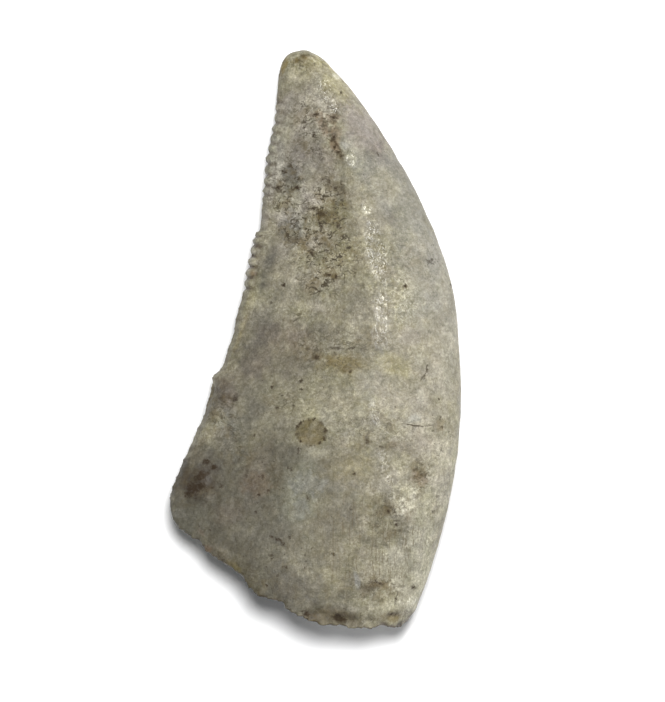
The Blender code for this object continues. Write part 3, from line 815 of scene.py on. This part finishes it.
def paintCrown(piece):
    points, normals = readShape(piece)
    facing = ease(*brush["facing"], normals[:, 2])
    mesh = piece.data
    noises = [noiseField(points, *values) for values in brush["noise"].values()]
    colour = paintShown(points, facing, noises)
    colour = paintUnseen(colour, points, normals, 1 - facing, noises)
    ink = inkMarks(points, facing)
    colour, ink = addRoundStain(colour, ink, points, facing, *noises[1:])
    saveField(mesh, "ink", ink)
    saveField(mesh, "shown", facing)
    layFields(mesh, points, facing, noises)
    tint = mesh.color_attributes.new("tint", "FLOAT_COLOR", "POINT")
    opaque = np.c_[np.clip(colour, 0, 1), np.ones(len(points))]
    tint.data.foreach_set("color", opaque.astype(np.float32).ravel())
    print("colours laid")


# the crown's material
# noise patterns: the size in mm, or how fine along x, y and z in grains per mm, then detail, roughness
# and distortion; a second row is the edge that the noise is cut at
patterns = {
    "islands": [(0.36, 6, 0.62, 0.5), (0.46, 0.54)], "mottling": [(0.75, 5)], "clouds": [(0.24, 5, 0.65)],
    "clots": [(0.085, 4, 0.65)], "grit": [(0.030, 3, 0.75)], "dust": [(0.055, 2)],
    "warmth": [(0.42, 2.5), (0.38, 0.62)], "smudges": [(0.26, 6, 0.68), (0.50, 0.60)],
    "inkEdge": [(0.045, 3, 0.7), (0.3, 0.7, -0.34, 0.34)],
    "dots": [(0.05, 1), (0.69, 0.75, 0, 0.6)], "dotParts": [(0.6, 2), (0.45, 0.6)],
    "satin": [(0.18, 4), (0.35, 0.65, 0.55, 0.72)],
    "across": [((4, 55, 4), 2)], "lengthwise": [((50, 5, 50), 2)],
    # the flecks pattern makes painted highlights: pale spots laid in the colour where the crest glints
    "highlightFlecks": [((26, 15, 20), 1), (0.60, 0.66)], "glints": [((16, 7, 12), 2), (0.42, 0.48)],
    "fibre": [((38, 3.2, 38), 2), (0.36, 0.46, 1, 0)],
}
# curly lines: size in mm, half width where solid and where gone, how much of the surface is bare, detail
curls = {
    "squiggles": (0.13, 0.015, 0.055, 0.46), "long": (0.18, 0.018, 0.050, 0.50, 1.2),
    "short": (0.105, 0.030, 0.078, 0.545, 1.0),
}
lineGrain = {
    "curl": (0.6, 0.7), "crease": (3, 0.6, 0.4),  # roughness and distortion, for creases after the detail
    "partSize": 0.77, "partFade": 0.06, "creaseWidth": 0.08, "creaseTop": 1.03,
    "hairline": (0.5, 1.1), "hairlineEnd": 0.8,  # solid and gone, in widths, and where its ends start to fade
}
# By says that a pair goes with a painted field, from where the field is low to where it is high
enamel = {
    "gritBySpeckle": (0.62, 0.90), "gritByCalm": (1.0, 0.6), "dustSwing": 0.36,
    "creases": [(0.22, (0.86, 0.66)), (0.11, (0.85, 0.70))],  # size in mm, lightness by speckle
    # painted highlights: how the pale flecks follow the glossy field, and how much lighter they make the
    # colour
    "highlightFlecksByGloss": (0.15, 0.7), "highlightFlecksLight": 1.1,
    "grainMean": 0.99,  # so that the fine grain makes nothing darker or lighter on the whole
    "grainTint": (1.04, 1.0, 0.86),
    "darkest": (0.004, 0.003, 0.001),
    "islandsByCalm": (0.08, 0.03), "mottlingSwing": 0.26,
    "cloudsByCalm": (0.60, 0.34), "clotsByCalm": (0.68, 0.36), "acrossSwing": 0.08, "lengthwiseSwing": 0.14,
    "squiggleLight": (1.04, 1.42),
    "warmCalmed": 0.7, "warmEven": 0.3,
    "cool": (0.985, 0.985, 1.015, 1), "warm": (0.99, 1.005, 0.935, 1),
    "smudgesBySpeckle": (0.03, 0.72),
    "curlPull": (0.85, 1.2, 1), "shortCurls": 0.9, "curlsBySpeckle": (0.1, 0.8, 0.12, 1.0),
    "inkLevels": (0.40, 0.90, 0.0, 0.95),
    "shake": 0.05, "shakeScale": 9.0,  # of the thin lines, in mm and per mm
    # how the dirt and painted shade in the denticle gaps break up with the clots
    "grimeAndShadeByClots": (0.35, 0.6, 0.95, 0.60),
    "fibreStrength": 0.55, "glintGloss": (0.1, 0.7),
    "glintRoughness": 0.17, "inkRoughness": 0.95, "specular": 0.45,
    "bumpClots": 0.9, "bumpGrit": 0.5, "bumpDistance": 0.000014,  # distance in m
}


enamelPaint = bpy.data.materials.new("fossilEnamel")
enamelPaint.use_nodes = True
tree = enamelPaint.node_tree


def addNode(kind, inputs, **settings):
    node = tree.nodes.new(kind)
    for name, value in settings.items():
        setattr(node, name, value)
    for name, value in inputs.items():
        if isinstance(value, bpy.types.NodeSocket):
            tree.links.new(value, node.inputs[name])
        else:
            node.inputs[name].default_value = value
    return node


def grain(place, size, detail=4.0, rough=0.6, distort=0.0):
    return addNode("ShaderNodeTexNoise", {"Vector": place, "Scale": 1 / size, "Detail": detail,
                   "Roughness": rough, "Distortion": distort}).outputs["Fac"]


def stretch(place, x, y, z):
    return addNode("ShaderNodeMapping", {"Vector": place, "Scale": (x, y, z)}).outputs["Vector"]


# places on the piece in mm, which all the patterns are drawn by
surface = stretch(addNode("ShaderNodeTexCoord", {}).outputs["Object"], 1 / mm, 1 / mm, 1 / mm)


def maths(operation, *values):
    return addNode("ShaderNodeMath", dict(enumerate(values)), operation=operation).outputs[0]


def vectorMaths(operation, inputs, output=0):
    return addNode("ShaderNodeVectorMath", inputs, operation=operation).outputs[output]


def levels(value, low, high, start=0.0, end=1.0):
    return addNode("ShaderNodeMapRange", {"Value": value, "From Min": low, "From Max": high,
                   "To Min": start, "To Max": end}).outputs["Result"]


def patternOf(name):
    (size, *noise), *edges = patterns[name]
    if isinstance(size, tuple):
        value = grain(stretch(surface, *size), 1.0, *noise)
    else:
        value = grain(surface, size, *noise)
    return levels(value, *edges[0]) if edges else value


def attribute(name, output="Fac"):
    return addNode("ShaderNodeAttribute", {}, attribute_name=name).outputs[output]


def byField(name, pair):
    return levels(attribute(name), 0.0, 1.0, *pair)


def mixColour(share, first, second, kind="MIX"):
    # sockets 0, 6 and 7 are the share and the two colours
    return addNode("ShaderNodeMix", {0: share, 6: first, 7: second}, data_type="RGBA",
                   blend_type=kind).outputs[2]


def mixValue(share, first, second):
    return addNode("ShaderNodeMix", {0: share, 2: first, 3: second}, data_type="FLOAT").outputs[0]


def layPigment(share, base, name):
    return mixColour(share, base, (*pigment(name), 1))


def swing(value, amount):
    # 1 on average, up and down by the amount
    centred = maths("SUBTRACT", value, 0.5)
    return maths("MULTIPLY_ADD", centred, maths("MULTIPLY", amount, 2), 1)


def multiply(*values):
    total = values[0]
    for value in values[1:]:
        total = maths("MULTIPLY", total, value)
    return total


def worms(place, size, thin, wide, keep, detail=2.5):
    # curly lines: where a noise passes its middle value, in the parts that another noise keeps
    middle = maths("SUBTRACT", grain(place, size, detail, *lineGrain["curl"]), 0.5)
    line = levels(maths("ABSOLUTE", middle), thin, wide, 1.0, 0.0)
    part = levels(grain(place, size * lineGrain["partSize"], 2), keep, keep + lineGrain["partFade"])
    return multiply(line, part)


def creasesOf(place, size, depth):
    # dark where a noise passes its middle value
    middle = maths("SUBTRACT", grain(place, size, *lineGrain["crease"]), 0.5)
    return levels(maths("ABSOLUTE", middle), 0.0, lineGrain["creaseWidth"], depth, lineGrain["creaseTop"])


def hairline(place, start, end, width):
    first, last = fromPhoto(*start), fromPhoto(*end)
    along = (last - first).normalized()
    across = Vector((-along.y, along.x, 0))
    half = (last - first).length / 2
    away = vectorMaths("SUBTRACT", {0: place, 1: (first + last) / 2})
    run, side = (vectorMaths("DOT_PRODUCT", {0: away, 1: axis}, "Value") for axis in (along, across))
    core, rim = (width / photo["pixelsPerMm"] * share for share in lineGrain["hairline"])
    return multiply(levels(maths("ABSOLUTE", side), core, rim, 1.0, 0.0),
                    levels(maths("ABSOLUTE", run), half * lineGrain["hairlineEnd"], half, 1.0, 0.0))


def broadShade(clots):
    # light and dark: patches with clear edges, mottling, clouds, clots, faint lines and pale squiggles, which
    # on the crest are partly painted highlights
    islands = patternOf("islands")
    shade = swing(islands, byField("calm", enamel["islandsByCalm"]))
    for part, amount in (
        (patternOf("mottling"), enamel["mottlingSwing"]),
        (patternOf("clouds"), byField("calm", enamel["cloudsByCalm"])),
        (clots, byField("calm", enamel["clotsByCalm"])),
        (patternOf("across"), enamel["acrossSwing"]),
        (patternOf("lengthwise"), enamel["lengthwiseSwing"]),
    ):
        shade = multiply(shade, swing(part, amount))
    squiggles = multiply(worms(surface, *curls["squiggles"]), attribute("squiggleAndHighlight"))
    return multiply(shade, levels(squiggles, 0.0, 1.0, *enamel["squiggleLight"]))


def fineShade(grit):
    # grain that is coarser in the specks, small creases, and painted highlights: pale flecks along the crest
    # where it glints
    grainy = multiply(byField("speckle", enamel["gritBySpeckle"]),
                      byField("calm", enamel["gritByCalm"]))
    dust = swing(patternOf("dust"), enamel["dustSwing"])
    fine = multiply(swing(grit, grainy), dust)
    for size, depth in enamel["creases"]:
        fine = multiply(fine, creasesOf(surface, size, byField("speckle", depth)))
    # painted highlights where the crest glints
    highlightFlecks = patternOf("highlightFlecks")
    highlightFlecks = multiply(highlightFlecks, levels(attribute("glossAndHighlight"), *enamel["highlightFlecksByGloss"]))
    return maths("ADD", fine, multiply(highlightFlecks, enamel["highlightFlecksLight"]))


def stainedEnamel(clots, grit):
    # the laid colours, warmer and cooler in parts, under both shades
    warm = patternOf("warmth")
    calmed = multiply(attribute("calm"), enamel["warmCalmed"])
    warm = mixValue(calmed, warm, enamel["warmEven"])
    shift = mixColour(warm, enamel["cool"], enamel["warm"])
    base = mixColour(1.0, attribute("tint", "Color"), shift, "MULTIPLY")
    base = vectorMaths("SCALE", {0: base, "Scale": broadShade(clots)})
    grey = addNode("ShaderNodeRGBToBW", {"Color": base}).outputs[0]
    change = maths("SUBTRACT", fineShade(grit), enamel["grainMean"])
    change = vectorMaths("SCALE", {0: enamel["grainTint"], "Scale": multiply(change, grey)})
    base = vectorMaths("ADD", {0: base, 1: change})
    return vectorMaths("MAXIMUM", {0: base, 1: enamel["darkest"]})


def brownSpecks(base):
    # brown smudges and small dark curls, in clusters
    smudge = patternOf("smudges")
    smudge = multiply(smudge, byField("speckle", enamel["smudgesBySpeckle"]))
    base = layPigment(smudge, base, "bister")
    lying = stretch(surface, *enamel["curlPull"])
    short = multiply(worms(lying, *curls["short"]), enamel["shortCurls"])
    both = maths("MAXIMUM", worms(lying, *curls["long"]), short)
    both = multiply(both, levels(attribute("speckle"), *enamel["curlsBySpeckle"]))
    return layPigment(both, base, "darkUmber")


def inkShare():
    # the dark marks with ragged edges, scattered dots and thin shaky lines
    ragged = patternOf("inkEdge")
    ink = levels(maths("ADD", attribute("ink"), ragged), *enamel["inkLevels"])
    dots = patternOf("dots")
    parts = patternOf("dotParts")
    ink = maths("MAXIMUM", ink, multiply(dots, parts))
    wobble = addNode("ShaderNodeTexNoise", {"Vector": surface, "Scale": enamel["shakeScale"], "Detail": 2.0})
    shake = enamel["shake"]
    shaky = vectorMaths("MULTIPLY_ADD", {0: wobble.outputs["Color"], 1: (shake,) * 3, 2: surface})
    shaky = vectorMaths("SUBTRACT", {0: shaky, 1: (shake / 2,) * 3})
    for start, end, width, strength in hairlines:
        line = multiply(hairline(shaky, start, end, width), attribute("shown"), strength)
        ink = maths("MAXIMUM", ink, line)
    return ink


def satinRoughness(ink):
    # satin, with small glossy flecks along the crest, and dull where it is inked
    rough = patternOf("satin")
    glint = patternOf("glints")
    glint = multiply(glint, levels(attribute("glossAndHighlight"), *enamel["glintGloss"]))
    rough = mixValue(glint, rough, enamel["glintRoughness"])
    return mixValue(ink, rough, enamel["inkRoughness"])


def mixEnamel():
    shader = tree.nodes["Principled BSDF"]
    clots = patternOf("clots")
    grit = patternOf("grit")
    ink = inkShare()
    base = brownSpecks(stainedEnamel(clots, grit))
    base = layPigment(ink, base, "pitch")

    # grime and painted shade between the denticles, and fibres down the lower half
    grimeAndShade = multiply(attribute("grimeAndShade"), levels(clots, *enamel["grimeAndShadeByClots"]))
    base = layPigment(grimeAndShade, base, "darkLiver")
    fibre = patternOf("fibre")
    fibre = multiply(fibre, attribute("fibre"), enamel["fibreStrength"])
    base = layPigment(fibre, base, "umber")
    tree.links.new(base, shader.inputs["Base Color"])
    tree.links.new(satinRoughness(ink), shader.inputs["Roughness"])
    shader.inputs["Specular IOR Level"].default_value = enamel["specular"]

    height = maths("ADD", multiply(clots, enamel["bumpClots"]), multiply(grit, enamel["bumpGrit"]))
    bump = addNode("ShaderNodeBump", {"Height": height, "Strength": 1.0, "Distance": enamel["bumpDistance"]})
    tree.links.new(bump.outputs["Normal"], shader.inputs["Normal"])


def finishCrown(piece):
    onlySelect(piece)
    piece.scale = (mm, mm, mm)
    bpy.ops.object.transform_apply(location=False, rotation=False, scale=True)
    bpy.ops.object.shade_smooth()
    piece.data.materials.clear()
    mixEnamel()
    piece.data.materials.append(enamelPaint)
    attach(piece, "root")
    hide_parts("tooth_crown")
    print("crown finished:", len(piece.data.polygons))


addCamera()
addLights()
addTable()
print("camera, lights and table ready")
piece = startCrown()
smoothCrown(piece)
refineCrown(piece)
roughenCrown(piece)
dentCrown(piece)
carveDenticles(piece)
paintCrown(piece)
finishCrown(piece)
